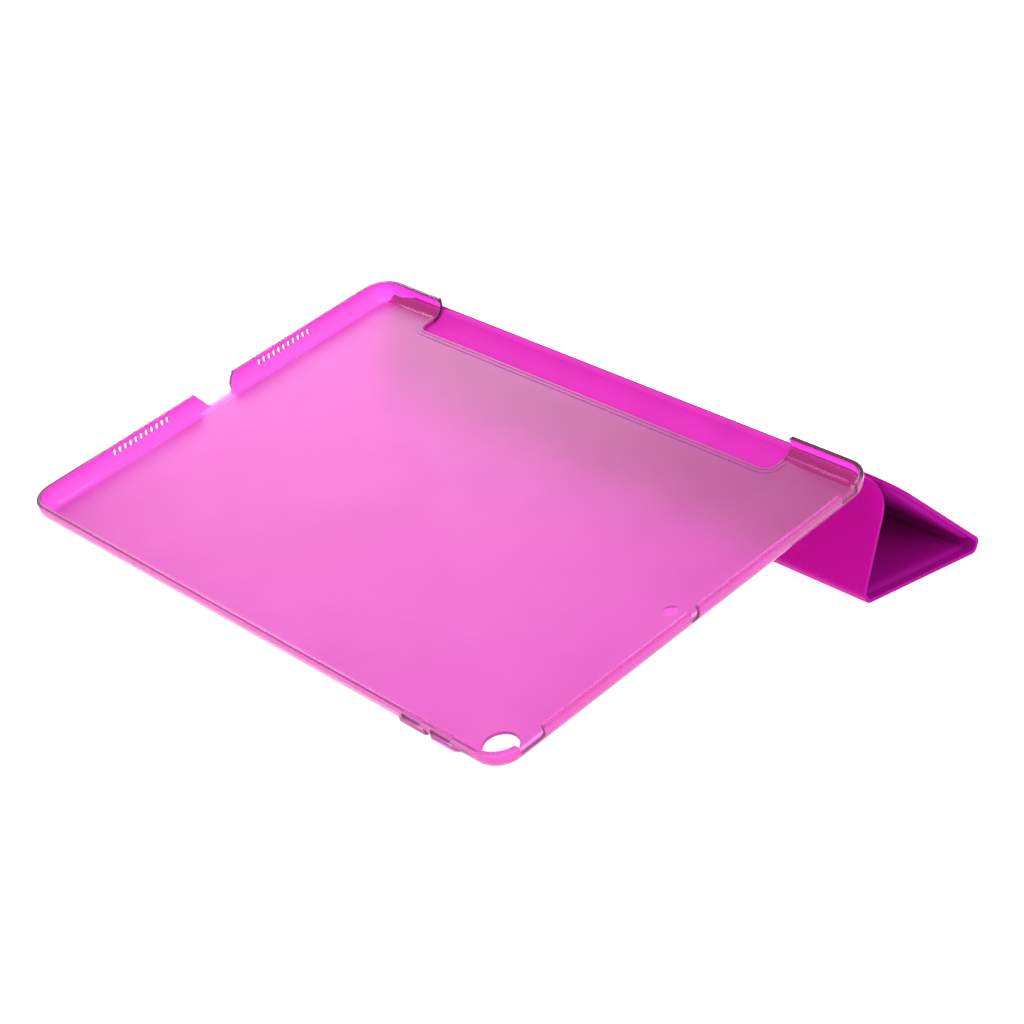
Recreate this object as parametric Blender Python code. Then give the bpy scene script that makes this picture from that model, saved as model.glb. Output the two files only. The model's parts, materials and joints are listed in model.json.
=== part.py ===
"""Folding stand case for a 10.5-inch-class tablet.

A hard translucent tray lies with its inside up. A leather-covered lid of three panels is
hinged along the tray's rear edge and folds back under it into a triangular prism, which
lifts the rear edge. Units are metres, Z is up, X runs along the tray's long side.
"""

import math

import bmesh
import bpy
from mathutils import Vector

MM = 0.001

# Tray
LENGTH = 253.4 * MM
WIDTH = 177.0 * MM
DEPTH = 8.0 * MM
WALL = 1.2 * MM
EDGE_ROUND = 6.0 * MM
CORNER_ROUND = 10.5 * MM
CORNER_STEPS = 7
ROUND_STEPS = 6
RIM_ROUND = 0.35 * MM
RIM_LIP = 0.4 * MM
TILT = math.radians(14.5)

# Openings in the tray
PORT_CENTRE = 88.5 * MM
PORT_TOP_WIDTH = 18.5 * MM
PORT_BOTTOM_WIDTH = 13.3 * MM
PORT_BOTTOM = 1.35 * MM
PORT_ROUND = 2.2 * MM
GRILLE_STARTS = (39.9 * MM, 110.5 * MM)
GRILLE_LENGTH = 25.0 * MM
GRILLE_HOLES = 11
GRILLE_SLOT = (1.3 * MM, 3.9 * MM, 6.3 * MM)  # width, bottom, top
POWER_NOTCH = (9.4 * MM, 20.2 * MM, 3.7 * MM)
MIC_NOTCH = (85.8 * MM, 89.4 * MM, 3.0 * MM)
HEADPHONE_NOTCH = (158.8 * MM, 166.9 * MM, 4.0 * MM)
NOTCH_ROUND = 1.2 * MM
VOLUME_WINDOWS = ((209.3 * MM, 218.9 * MM), (222.7 * MM, 232.6 * MM))
VOLUME_PADS = ((207.6 * MM, 219.4 * MM), (222.2 * MM, 232.9 * MM))
VOLUME_RAMPS = ((3.0 * MM, 1.2 * MM), (1.2 * MM, 3.0 * MM))
VOLUME_BOTTOM = 4.2 * MM
VOLUME_TOP = 6.6 * MM
PAD_BOTTOM = 2.4 * MM
PAD_TOP = 5.6 * MM
CAMERA_CENTRE = (241.5 * MM, 11.6 * MM)
CAMERA_RADIUS = 5.85 * MM
GATE_CENTRE = (240.0 * MM, 89.0 * MM)
GATE_RADIUS = 2.75 * MM
GATE_DEPTH = 0.2 * MM

# Hinge cut-out in the tray's rear edge, and the stepped border round it
CUT_LEFT = 35.2 * MM
CUT_RIGHT = 215.8 * MM
CUT_FRONT = 163.6 * MM
CUT_ROUND = 3.6 * MM
BORDER = 2.6 * MM
BORDER_RISE = 0.5 * MM
RECESS = 3.6 * MM
RECESS_DEPTH = 0.7 * MM

# Cover layers
SKIN = 0.6 * MM
GAP = 0.3 * MM
BOARD = 0.9 * MM
LINING = 0.5 * MM
SHEET = SKIN + GAP + LINING
PANEL = SKIN + GAP + BOARD + GAP + LINING
BOARD_MARGIN = 4.0 * MM
BOARD_EDGE = 1.6 * MM

# Creases. The hinge lies just behind the tray's rear wall.
HINGE_V = 178.0 * MM
HINGE_W = 2.7 * MM
SPINE = 6.9 * MM
PANEL_1 = 38.69 * MM
STRIP_1 = 4.6 * MM
PANEL_2 = 58.7 * MM
STRIP_2 = 4.8 * MM
PANEL_3 = 62.55 * MM
SPINE_TURN = math.radians(-55.1)
PANEL_1_TURN = math.radians(-62.4)
FOLD_1_TURN = math.radians(51.5)
FOLD_2_TURN = math.radians(72.0)
SPINE_CLEAR = 0.9 * MM
PANEL_CLEAR = 1.2 * MM
STRIP_CLEAR = 1.0 * MM
PANEL_1_OVERHANG = 0.7 * MM
SPINE_LEFT = 36.0 * MM
SPINE_RIGHT = 215.0 * MM
COVER_ROUND = 10.0 * MM
FREE_EDGE_ROUND = 12.0 * MM
SPINE_GAP = 0.9 * MM

# Flap that fastens the cover under the tray
FLAP_FRONT = 160.6 * MM
FLAP_BEND = 169.5 * MM
FLAP_END = 177.15 * MM
FLAP_MIDDLE = (32.2 * MM, 218.8 * MM)
FLAP_WINGS = (6.0 * MM, 247.0 * MM)
WING_START = 171.7 * MM
WING_END = 175.9 * MM
FLAP_SINK = 0.75 * MM
FLAP_RISE = 3.15 * MM
FLAP_STEPS = 10
TAPE = 0.2 * MM

# Pieces sealed between the layers
MAGNET = (12.0 * MM, 5.0 * MM)
MAGNET_XS = (28.0 * MM, 84.0 * MM, 168.0 * MM, 224.0 * MM)
MAGNET_TO_EDGE = 5.6 * MM
WAKE_MAGNET = (6.0 * MM, 6.0 * MM)
WAKE_MAGNET_AT = (236.0 * MM, 14.0 * MM)
KEEPER = (214.0 * MM, 6.0 * MM)
KEEPER_FROM_HINGE = 6.6 * MM

# The object's origin: under the middle of its footprint
ORIGIN = (LENGTH / 2, 114.16 * MM)

POLYCARBONATE = ("translucent polycarbonate", (0.90, 0.20, 0.62), 0.35, 0.0)
LEATHER = ("leather-grain skin", (0.46, 0.008, 0.28), 0.5, 0.0)
MICROFIBRE = ("microfibre", (0.42, 0.012, 0.27), 0.9, 0.0)
GREYBOARD = ("stiff board", (0.28, 0.25, 0.22), 0.85, 0.0)
STEEL = ("steel", (0.55, 0.56, 0.58), 0.35, 1.0)
NICKEL = ("nickel-plated magnet", (0.66, 0.65, 0.62), 0.25, 1.0)
ADHESIVE = ("adhesive tape", (0.85, 0.84, 0.80), 0.6, 0.0)


def clear_scene():
    for old in list(bpy.data.objects):
        bpy.data.objects.remove(old, do_unlink=True)


def material(spec):
    name, colour, roughness, metallic = spec
    found = bpy.data.materials.get(name)
    if found:
        return found
    made = bpy.data.materials.new(name)
    made.use_nodes = True
    shader = made.node_tree.nodes["Principled BSDF"]
    shader.inputs["Base Color"].default_value = (*colour, 1.0)
    shader.inputs["Roughness"].default_value = roughness
    shader.inputs["Metallic"].default_value = metallic
    return made


def empty(name, parent, location, turn):
    """A frame whose X axis is a crease, turned about X from its parent."""
    made = bpy.data.objects.new(name, None)
    bpy.context.collection.objects.link(made)
    made.parent = parent
    made.location = location
    made.rotation_euler = (turn, 0.0, 0.0)
    return made


def to_object(name, bm, parent, look):
    bmesh.ops.recalc_face_normals(bm, faces=bm.faces)
    mesh = bpy.data.meshes.new(name)
    bm.to_mesh(mesh)
    bm.free()
    made = bpy.data.objects.new(name, mesh)
    bpy.context.collection.objects.link(made)
    made.parent = parent
    if look is None:
        made.hide_render = True
        made.display_type = "WIRE"
    else:
        mesh.materials.append(material(look))
    return made


def boolean(target, cutter, operation):
    modifier = target.modifiers.new(cutter.name, "BOOLEAN")
    modifier.object = cutter
    modifier.operation = operation
    modifier.solver = "EXACT"


def arc(centre, radius, start, end, steps):
    """Points on an arc, angles in degrees."""
    points = []
    for step in range(steps + 1):
        angle = math.radians(start + (end - start) * step / steps)
        x = centre[0] + radius * math.cos(angle)
        y = centre[1] + radius * math.sin(angle)
        points.append((x, y))
    return points


def rectangle(x0, x1, y0, y1, rounds, steps=6):
    """Counter-clockwise outline. rounds: radii at (x0,y0), (x1,y0), (x1,y1), (x0,y1)."""
    corners = (
        (x0, y0, 1, 1, 180),
        (x1, y0, -1, 1, 270),
        (x1, y1, -1, -1, 0),
        (x0, y1, 1, -1, 90),
    )
    points = []
    for (x, y, inward_x, inward_y, start), radius in zip(corners, rounds):
        if radius > 0:
            centre = (x + inward_x * radius, y + inward_y * radius)
            points += arc(centre, radius, start, start + 90, steps)
        else:
            points.append((x, y))
    return points


def prism(bm, outline, low, high, place):
    """Adds a closed prism to bm. place turns outline x, y and height into a point."""
    bottom = [bm.verts.new(place(x, y, low)) for x, y in outline]
    top = [bm.verts.new(place(x, y, high)) for x, y in outline]
    bm.faces.new(bottom)
    bm.faces.new(top)
    count = len(outline)
    for index in range(count):
        after = (index + 1) % count
        bm.faces.new((bottom[index], bottom[after], top[after], top[index]))


def along_z(x, y, height):
    return Vector((x, y, height))


def along_x(y, z, x):
    return Vector((x, y, z))


def along_y(x, z, y):
    return Vector((x, y, z))


def plate(name, outline, low, high, parent, look):
    bm = bmesh.new()
    prism(bm, outline, low, high, along_z)
    return to_object(name, bm, parent, look)


# --- Tray -----------------------------------------------------------------------------

def tray_profile():
    """(inset from the outline, height) up the outside, over the rim and down the inside."""
    profile = []
    for step in range(ROUND_STEPS + 1):
        angle = math.pi / 2 * step / ROUND_STEPS
        profile.append((EDGE_ROUND * (1 - math.sin(angle)), EDGE_ROUND * (1 - math.cos(angle))))
    soft = RIM_ROUND * 0.3
    inner = WALL + RIM_LIP
    profile.append((0.0, DEPTH - RIM_ROUND))
    profile.append((soft, DEPTH - soft))
    profile.append((RIM_ROUND, DEPTH))
    profile.append((inner - RIM_ROUND, DEPTH))
    profile.append((inner - soft, DEPTH - soft))
    profile.append((inner, DEPTH - RIM_ROUND))
    profile.append((inner, DEPTH - 2.2 * RIM_ROUND))
    profile.append((WALL, DEPTH - 2.2 * RIM_ROUND - RIM_LIP))
    inner_round = EDGE_ROUND - WALL
    for step in range(ROUND_STEPS, -1, -1):
        angle = math.pi / 2 * step / ROUND_STEPS
        inset = WALL + inner_round * (1 - math.sin(angle))
        height = WALL + inner_round * (1 - math.cos(angle))
        profile.append((inset, height))
    return profile


def tray_body(parent):
    bm = bmesh.new()
    rings = []
    for inset, height in tray_profile():
        radius = CORNER_ROUND - inset
        outline = rectangle(
            inset, LENGTH - inset, inset, WIDTH - inset, (radius,) * 4, CORNER_STEPS
        )
        rings.append([bm.verts.new((x, y, height)) for x, y in outline])
    count = len(rings[0])
    for lower, upper in zip(rings, rings[1:]):
        for index in range(count):
            after = (index + 1) % count
            bm.faces.new((lower[index], lower[after], upper[after], upper[index]))
    bm.faces.new(rings[0])
    bm.faces.new(rings[-1])
    return to_object("back_shell", bm, parent, POLYCARBONATE)


def notch_outline(low, high, bottom, top_flare=0.0, radius=NOTCH_ROUND):
    """Slot open at the rim: width from low to high at the bottom, wider by top_flare."""
    above = DEPTH + 1.0 * MM
    points = [(high + top_flare, above), (low - top_flare, above)]
    points += arc((low + radius, bottom + radius), radius, 180, 270, 4)
    points += arc((high - radius, bottom + radius), radius, 270, 360, 4)
    return points


def side_openings(parent):
    """Port notch and speaker slots on the left, three notches on the right."""
    bm = bmesh.new()
    flare = (PORT_TOP_WIDTH - PORT_BOTTOM_WIDTH) / 2
    port = notch_outline(
        PORT_CENTRE - PORT_BOTTOM_WIDTH / 2,
        PORT_CENTRE + PORT_BOTTOM_WIDTH / 2,
        PORT_BOTTOM,
        flare,
        PORT_ROUND,
    )
    prism(bm, port, -1.0 * MM, 5.6 * MM, along_x)
    for low, high, bottom in (POWER_NOTCH, MIC_NOTCH, HEADPHONE_NOTCH):
        prism(bm, notch_outline(low, high, bottom), LENGTH - 2.7 * MM, LENGTH + 1.0 * MM, along_x)
    pitch = GRILLE_LENGTH / (GRILLE_HOLES - 1)
    half, bottom, top = GRILLE_SLOT[0] / 2, GRILLE_SLOT[1], GRILLE_SLOT[2]
    for start in GRILLE_STARTS:
        for hole in range(GRILLE_HOLES):
            middle = start + pitch * hole
            slot = rectangle(middle - half, middle + half, bottom, top, (half * 0.98,) * 4, 2)
            prism(bm, slot, -1.0 * MM, 3.0 * MM, along_x)
    return to_object("side openings cutter", bm, parent, None)


def volume_pads(parent):
    """Two square-edged pads on the front edge's round, below the volume windows."""
    bm = bmesh.new()
    for (left, right), (ramp_left, ramp_right) in zip(VOLUME_PADS, VOLUME_RAMPS):
        outer = 0.02 * MM
        inner = 1.6 * MM
        inner_top = 3.9 * MM
        outside = (
            (left, outer, PAD_BOTTOM),
            (right, outer, PAD_BOTTOM),
            (right, outer, PAD_TOP),
            (left, outer, PAD_TOP),
        )
        inside = (
            (left - ramp_left, inner, PAD_BOTTOM),
            (right + ramp_right, inner, PAD_BOTTOM),
            (right + ramp_right, inner, inner_top),
            (left - ramp_left, inner, inner_top),
        )
        front = [bm.verts.new(point) for point in outside]
        back = [bm.verts.new(point) for point in inside]
        bm.faces.new(front)
        bm.faces.new(back)
        for index in range(4):
            after = (index + 1) % 4
            bm.faces.new((front[index], front[after], back[after], back[index]))
    return to_object("volume pads", bm, parent, None)


def front_openings(parent):
    bm = bmesh.new()
    for left, right in VOLUME_WINDOWS:
        window = rectangle(left, right, VOLUME_BOTTOM, VOLUME_TOP, (0.5 * MM,) * 4, 3)
        prism(bm, window, -1.0 * MM, 2.3 * MM, along_y)
    return to_object("front openings cutter", bm, parent, None)


def floor_openings(parent):
    """Camera hole through the floor and the shallow gate mark on its outside."""
    bm = bmesh.new()
    camera = arc(CAMERA_CENTRE, CAMERA_RADIUS, 0, 360 - 360 / 32, 31)
    prism(bm, camera, -1.0 * MM, WALL + 1.0 * MM, along_z)
    gate = arc(GATE_CENTRE, GATE_RADIUS, 0, 360 - 360 / 20, 19)
    prism(bm, gate, -1.0 * MM, GATE_DEPTH, along_z)
    return to_object("floor openings cutter", bm, parent, None)


def border_plate(parent):
    outline = rectangle(
        CUT_LEFT - BORDER,
        CUT_RIGHT + BORDER,
        CUT_FRONT - BORDER,
        WIDTH - 4.2 * MM,
        (CUT_ROUND + BORDER, CUT_ROUND + BORDER, 0, 0),
    )
    return plate("border", outline, 0.95 * MM, WALL + BORDER_RISE, parent, None)


def recess_cutter(parent):
    outline = rectangle(
        CUT_LEFT - RECESS,
        CUT_RIGHT + RECESS,
        CUT_FRONT - RECESS,
        WIDTH + 2.0 * MM,
        (CUT_ROUND, CUT_ROUND, 0, 0),
    )
    return plate("recess cutter", outline, -1.0 * MM, RECESS_DEPTH, parent, None)


def hinge_cutter(parent):
    outline = rectangle(
        CUT_LEFT, CUT_RIGHT, CUT_FRONT, WIDTH + 2.0 * MM, (CUT_ROUND, CUT_ROUND, 0, 0)
    )
    return plate("hinge cutter", outline, -2.0 * MM, DEPTH + 1.5 * MM, parent, None)


def build_tray(frame):
    shell = tray_body(frame)
    boolean(shell, volume_pads(frame), "UNION")
    boolean(shell, border_plate(frame), "UNION")
    boolean(shell, recess_cutter(frame), "DIFFERENCE")
    boolean(shell, hinge_cutter(frame), "DIFFERENCE")
    boolean(shell, side_openings(frame), "DIFFERENCE")
    boolean(shell, front_openings(frame), "DIFFERENCE")
    boolean(shell, floor_openings(frame), "DIFFERENCE")


# --- Hinge flap -----------------------------------------------------------------------

def flap_point(v):
    """Height and slope of the flap's middle surface: flat, then an arc up to the hinge."""
    if v <= FLAP_BEND:
        return -FLAP_SINK, 0.0
    run = FLAP_END - FLAP_BEND
    radius = (run * run + FLAP_RISE * FLAP_RISE) / (2 * FLAP_RISE)
    reach = v - FLAP_BEND
    slope = math.asin(reach / radius)
    return -FLAP_SINK + radius * (1 - math.cos(slope)), slope


def swept_sheet(name, stations, low, high, parent, look):
    """stations: (v, left, right). low and high are offsets from the flap's middle surface."""
    bm = bmesh.new()
    sections = []
    for v, left, right in stations:
        height, slope = flap_point(v)
        across = Vector((0.0, -math.sin(slope), math.cos(slope)))
        middle = Vector((0.0, v, height))
        section = []
        for x, offset in ((left, low), (right, low), (right, high), (left, high)):
            section.append(bm.verts.new(middle + across * offset + Vector((x, 0.0, 0.0))))
        sections.append(section)
    for near, far in zip(sections, sections[1:]):
        for index in range(4):
            after = (index + 1) % 4
            bm.faces.new((near[index], near[after], far[after], far[index]))
    bm.faces.new(sections[0])
    bm.faces.new(sections[-1])
    return to_object(name, bm, parent, look)


def bend_stations(start, end, left, right):
    return [
        (start + (end - start) * step / FLAP_STEPS, left, right)
        for step in range(FLAP_STEPS + 1)
    ]


def build_flap(frame):
    left, right = FLAP_MIDDLE
    wing_left, wing_right = FLAP_WINGS
    ramp = 0.5 * MM
    skin = [(FLAP_FRONT, left, right), (WING_START - ramp, left, right)]
    skin += bend_stations(WING_START, WING_END, wing_left, wing_right)
    skin += [(WING_END + ramp, SPINE_LEFT, SPINE_RIGHT), (FLAP_END, SPINE_LEFT, SPINE_RIGHT)]
    half = SHEET / 2
    swept_sheet("hinge_flap_skin", skin, -half, -half + SKIN, frame, LEATHER)
    narrow = WING_START - 1.5 * MM
    lining = [(FLAP_FRONT, left, right), (narrow, left, right)]
    lining += bend_stations(narrow + ramp, FLAP_END, SPINE_LEFT, SPINE_RIGHT)
    swept_sheet("hinge_flap_lining", lining, half - LINING, half, frame, MICROFIBRE)
    tape = rectangle(
        left + 1.0 * MM, right - 1.0 * MM, FLAP_FRONT + 0.2 * MM, CUT_FRONT - 0.4 * MM, (0,) * 4
    )
    tape_low = -FLAP_SINK + half + 0.25 * MM
    plate("hinge_flap_tape", tape, tape_low, tape_low + TAPE, frame, ADHESIVE)


# --- Cover ----------------------------------------------------------------------------

def add_pocketed_board(name, outline, low, parent, pockets):
    board = plate(name, outline, low, low + BOARD, parent, GREYBOARD)
    if pockets:
        bm = bmesh.new()
        for x, y, size_x, size_y in pockets:
            half_x = size_x / 2 + GAP
            half_y = size_y / 2 + GAP
            hole = rectangle(x - half_x, x + half_x, y - half_y, y + half_y, (0,) * 4)
            prism(bm, hole, low - 1.0 * MM, low + BOARD + 1.0 * MM, along_z)
        boolean(board, to_object(name + " pockets", bm, parent, None), "DIFFERENCE")
    return board


def add_insert(name, x, y, size, low, parent, look):
    half_x = size[0] / 2
    half_y = size[1] / 2
    outline = rectangle(x - half_x, x + half_x, y - half_y, y + half_y, (0,) * 4)
    plate(name, outline, low, low + BOARD, parent, look)


def add_sheet_pair(name, outline, low, parent, lining_low):
    plate(name + "_skin", outline, low, low + SKIN, parent, LEATHER)
    plate(name + "_lining", outline, lining_low, lining_low + LINING, parent, MICROFIBRE)


def board_outline(start, end, free_round):
    return rectangle(
        BOARD_MARGIN,
        LENGTH - BOARD_MARGIN,
        start + BOARD_EDGE,
        end - BOARD_EDGE,
        (0, 0, free_round, free_round),
    )


def panel_1_outline(end):
    """Full width past the spine's ends, set back behind the spine between them."""
    top = -PANEL_1_OVERHANG
    points = [(0.0, end), (LENGTH, end)]
    points += reversed(arc((LENGTH - COVER_ROUND, top + COVER_ROUND), COVER_ROUND, 270, 360, 6))
    points += [
        (SPINE_RIGHT + 1.3 * MM, top),
        (SPINE_RIGHT + 0.8 * MM, SPINE_GAP),
        (SPINE_LEFT - 0.8 * MM, SPINE_GAP),
        (SPINE_LEFT - 1.3 * MM, top),
    ]
    points += reversed(arc((COVER_ROUND, top + COVER_ROUND), COVER_ROUND, 180, 270, 6))
    return points


def build_cover(frame):
    spine = empty("spine axis", frame, (0.0, HINGE_V, HINGE_W), SPINE_TURN)
    spine_outline = rectangle(SPINE_LEFT, SPINE_RIGHT, SPINE_CLEAR, SPINE - SPINE_CLEAR, (0,) * 4)
    add_sheet_pair("spine", spine_outline, -SHEET / 2, spine, SHEET / 2 - LINING)

    panel_1 = empty("panel 1 axis", spine, (0.0, SPINE, 0.0), PANEL_1_TURN)
    low = -PANEL / 2
    board_low = low + SKIN + GAP
    add_sheet_pair(
        "panel_1", panel_1_outline(PANEL_1 - PANEL_CLEAR), low, panel_1, PANEL / 2 - LINING
    )
    keeper_at = (LENGTH / 2, KEEPER_FROM_HINGE)
    outline = rectangle(
        BOARD_MARGIN,
        LENGTH - BOARD_MARGIN,
        SPINE_GAP + BOARD_EDGE,
        PANEL_1 - PANEL_CLEAR - BOARD_EDGE,
        (8.0 * MM, 8.0 * MM, 0, 0),
    )
    add_pocketed_board("panel_1_board", outline, board_low, panel_1, [(*keeper_at, *KEEPER)])
    add_insert("panel_1_keeper_strip", *keeper_at, KEEPER, board_low, panel_1, STEEL)

    crease = SKIN / 2
    strip_1 = empty("fold 1a axis", panel_1, (0.0, PANEL_1, low + crease), FOLD_1_TURN)
    outline = rectangle(0.0, LENGTH, STRIP_CLEAR, STRIP_1 - STRIP_CLEAR, (0,) * 4)
    add_sheet_pair("fold_strip_1", outline, -crease, strip_1, crease + GAP)

    panel_2 = empty("fold 1b axis", strip_1, (0.0, STRIP_1, 0.0), FOLD_1_TURN)
    board_low = crease + GAP
    lining_low = board_low + BOARD + GAP
    outline = rectangle(0.0, LENGTH, PANEL_CLEAR, PANEL_2 - PANEL_CLEAR, (0,) * 4)
    add_sheet_pair("panel_2", outline, -crease, panel_2, lining_low)
    outline = board_outline(PANEL_CLEAR, PANEL_2 - PANEL_CLEAR, 0)
    add_pocketed_board("panel_2_board", outline, board_low, panel_2, [])

    strip_2 = empty("fold 2a axis", panel_2, (0.0, PANEL_2, 0.0), FOLD_2_TURN)
    outline = rectangle(0.0, LENGTH, STRIP_CLEAR, STRIP_2 - STRIP_CLEAR, (0,) * 4)
    add_sheet_pair("fold_strip_2", outline, -crease, strip_2, crease + GAP)

    panel_3 = empty("fold 2b axis", strip_2, (0.0, STRIP_2, 0.0), FOLD_2_TURN)
    free = (0, 0, FREE_EDGE_ROUND, FREE_EDGE_ROUND)
    outline = rectangle(0.0, LENGTH, PANEL_CLEAR, PANEL_3, free)
    add_sheet_pair("panel_3", outline, -crease, panel_3, lining_low)
    magnet_y = PANEL_3 - MAGNET_TO_EDGE
    pockets = [(x, magnet_y, *MAGNET) for x in MAGNET_XS]
    pockets.append((*WAKE_MAGNET_AT, *WAKE_MAGNET))
    outline = board_outline(PANEL_CLEAR, PANEL_3, FREE_EDGE_ROUND - 2.0 * MM)
    add_pocketed_board("panel_3_board", outline, board_low, panel_3, pockets)
    for number, x in enumerate(MAGNET_XS, 1):
        name = f"panel_3_magnet_{number}"
        add_insert(name, x, magnet_y, MAGNET, board_low, panel_3, NICKEL)
    add_insert("panel_3_wake_magnet", *WAKE_MAGNET_AT, WAKE_MAGNET, board_low, panel_3, NICKEL)


def shade(smooth_angle):
    for made in bpy.data.objects:
        if made.type == "MESH" and not made.hide_render:
            made.data.shade_smooth()
            made.data.set_sharp_from_angle(angle=smooth_angle)


def main():
    clear_scene()
    ground = EDGE_ROUND * (math.sin(TILT) + math.cos(TILT) - 1)
    frame = empty("tray frame", None, (-ORIGIN[0], -ORIGIN[1], -ground), TILT)
    build_tray(frame)
    build_flap(frame)
    build_cover(frame)
    shade(math.radians(30))
    bpy.context.view_layer.update()


main()
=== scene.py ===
import json
import math

import bmesh
import bpy
import numpy as np
from mathutils import Matrix, Vector


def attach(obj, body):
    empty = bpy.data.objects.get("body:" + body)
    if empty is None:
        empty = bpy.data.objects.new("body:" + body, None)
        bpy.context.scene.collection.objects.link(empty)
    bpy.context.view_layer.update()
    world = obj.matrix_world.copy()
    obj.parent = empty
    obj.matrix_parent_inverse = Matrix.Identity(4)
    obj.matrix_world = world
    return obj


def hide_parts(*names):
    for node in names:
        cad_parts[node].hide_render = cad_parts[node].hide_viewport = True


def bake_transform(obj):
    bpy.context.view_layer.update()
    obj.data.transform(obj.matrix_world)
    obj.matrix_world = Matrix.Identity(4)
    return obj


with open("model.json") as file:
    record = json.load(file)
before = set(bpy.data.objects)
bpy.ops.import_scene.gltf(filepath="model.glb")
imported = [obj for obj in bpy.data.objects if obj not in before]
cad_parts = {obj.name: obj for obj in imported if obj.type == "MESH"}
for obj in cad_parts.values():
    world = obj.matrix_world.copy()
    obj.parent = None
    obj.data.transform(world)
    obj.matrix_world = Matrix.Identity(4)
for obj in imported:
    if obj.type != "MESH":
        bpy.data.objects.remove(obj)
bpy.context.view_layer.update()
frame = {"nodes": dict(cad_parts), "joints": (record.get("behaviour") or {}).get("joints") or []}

# Lengths are in millimetres, except where metres are named. In the tray's own frame x runs
# along the long side, y from the front edge to the rear, and h up from the underside.
MM = 0.001
LENGTH = 253.4
WIDTH = 177.0
DEPTH = 8.0
WALL = 1.2
EDGE_ROUND = 6.0
CORNER_ROUND = 10.5
TILT_DEGREES = 14.5
TILT = math.radians(TILT_DEGREES)
ORIGIN = (LENGTH / 2, 114.16)
GROUND = EDGE_ROUND * (math.sin(TILT) + math.cos(TILT) - 1)
TRAY = Matrix.Translation((-ORIGIN[0] * MM, -ORIGIN[1] * MM, -GROUND * MM))
TRAY = TRAY @ Matrix.Rotation(TILT, 4, "X")
JOINTS = {j["name"]: j for j in frame["joints"]}

GATE_MARK = (240.0, 89.0)
CAMERA_HOLE = (241.5, 11.6)


# --- Node helpers -----------------------------------------------------------------------

def new_material(name):
    material = bpy.data.materials.new(name)
    material.use_nodes = True
    tree = material.node_tree
    return material, tree, tree.nodes["Principled BSDF"]


def node(tree, kind, **values):
    """New node, with each value set as a property or on the input of that name."""
    made = tree.nodes.new(kind)
    for key, value in values.items():
        if hasattr(made, key):
            setattr(made, key, value)
        else:
            made.inputs[key].default_value = value
    return made


def link(tree, source, target):
    tree.links.new(source, target)


def linear(r, g, b):
    """Linear colour from 0 to 255 display values."""
    out = []
    for value in (r, g, b):
        value /= 255
        out.append(value / 12.92 if value <= 0.04045 else ((value + 0.055) / 1.055) ** 2.4)
    return (*out, 1.0)


def calculate(tree, operation, *values):
    """Math node, whose values are sockets or numbers."""
    made = node(tree, "ShaderNodeMath", operation=operation)
    for socket, value in zip(made.inputs, values):
        if isinstance(value, bpy.types.NodeSocket):
            link(tree, value, socket)
        else:
            socket.default_value = value
    return made.outputs[0]


def noise(tree, scale, detail, roughness, vector):
    made = node(tree, "ShaderNodeTexNoise", Scale=scale, Detail=detail, Roughness=roughness)
    link(tree, vector, made.inputs["Vector"])
    return made


def ramp(tree, source, low, high, out_low=0.0, out_high=1.0):
    made = tree.nodes.new("ShaderNodeMapRange")
    made.inputs["From Min"].default_value = low
    made.inputs["From Max"].default_value = high
    made.inputs["To Min"].default_value = out_low
    made.inputs["To Max"].default_value = out_high
    link(tree, source, made.inputs["Value"])
    return made.outputs["Result"]


def mix_colour(tree, factor, a, b):
    made = tree.nodes.new("ShaderNodeMix")
    made.data_type = "RGBA"
    made.inputs["A"].default_value = a
    made.inputs["B"].default_value = b
    link(tree, factor, made.inputs["Factor"])
    return made.outputs["Result"]


def darken(tree, colour, pattern, amount):
    """Colour multiplied by a pattern, by the given amount."""
    made = node(tree, "ShaderNodeMix", data_type="RGBA", blend_type="MULTIPLY")
    made.inputs["Factor"].default_value = amount
    link(tree, colour, made.inputs["A"])
    link(tree, pattern, made.inputs["B"])
    return made.outputs["Result"]


def add_bump(tree, height, strength, distance, below=None):
    """Bump from a height pattern, on top of another bump's normal if one is given."""
    made = node(tree, "ShaderNodeBump", Strength=strength, Distance=distance)
    link(tree, height, made.inputs["Height"])
    if below is not None:
        link(tree, below, made.inputs["Normal"])
    return made.outputs["Normal"]


def position(tree):
    """Position at rest in metres, from the object's own coordinates."""
    return tree.nodes.new("ShaderNodeTexCoord").outputs["Object"]


# --- Materials --------------------------------------------------------------------------

def tray_masks(tree, where):
    """1 on the frosted flat back, and the distance behind the tray's middle in metres."""
    split = tree.nodes.new("ShaderNodeSeparateXYZ")
    link(tree, where, split.inputs[0])
    along = node(tree, "ShaderNodeVectorMath", operation="DOT_PRODUCT")
    link(tree, where, along.inputs[0])
    along.inputs[1].default_value = (0.0, math.cos(TILT), math.sin(TILT))
    middle = WIDTH / 2 - ORIGIN[1] * math.cos(TILT) - GROUND * math.sin(TILT)
    rearward = calculate(tree, "SUBTRACT", along.outputs["Value"], middle * MM)
    rooms = []
    for offset, half in ((split.outputs["X"], LENGTH / 2), (rearward, WIDTH / 2)):
        distance = calculate(tree, "ABSOLUTE", offset)
        rooms.append(calculate(tree, "SUBTRACT", (half - EDGE_ROUND) * MM, distance))
    flat = ramp(tree, calculate(tree, "MINIMUM", *rooms), -0.8 * MM, 0.8 * MM)

    # The moulding mark is polished too
    gate = node(tree, "ShaderNodeVectorMath", operation="DISTANCE")
    link(tree, where, gate.inputs[0])
    gate.inputs[1].default_value = TRAY @ (Vector((*GATE_MARK, WALL / 2)) * MM)
    outside_gate = ramp(tree, gate.outputs["Value"], 2.4 * MM, 2.9 * MM)
    return calculate(tree, "MULTIPLY", flat, outside_gate), rearward


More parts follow.
